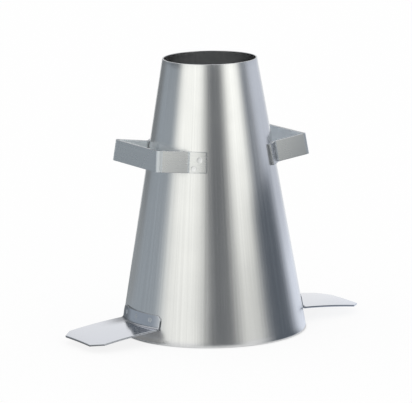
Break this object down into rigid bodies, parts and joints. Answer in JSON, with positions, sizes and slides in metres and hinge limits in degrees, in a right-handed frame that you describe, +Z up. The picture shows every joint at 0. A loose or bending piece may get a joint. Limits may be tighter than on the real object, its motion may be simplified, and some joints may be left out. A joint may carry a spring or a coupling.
{
  "type": "slump cone",
  "caption": "Open steel frustum mould for the concrete slump test, with bent strap handles and sloping foot pieces welded to its wall.",
  "frame": {"origin": "centre of the base rim, on the surface that the mould stands on", "axes": "+Z up along the cone's axis, +X through the right handle and right foot, +Y across them"},
  "size_m": [0.346, 0.2032, 0.3],
  "materials": {
    "cone_steel": "satin, brushed along the wall",
    "strap_steel": "satin mill finish",
    "foot_steel": "satin mill finish",
    "weld_steel": "dull spot weld"
  },
  "bodies": {
    "root": {"cone_shell": "cone_steel", "left_handle": "strap_steel", "right_handle": "strap_steel", "left_foot": "foot_steel", "right_foot": "foot_steel", "left_handle_welds": "weld_steel", "right_handle_welds": "weld_steel", "left_foot_welds": "weld_steel", "right_foot_welds": "weld_steel"}
  },
  "joints": []
}
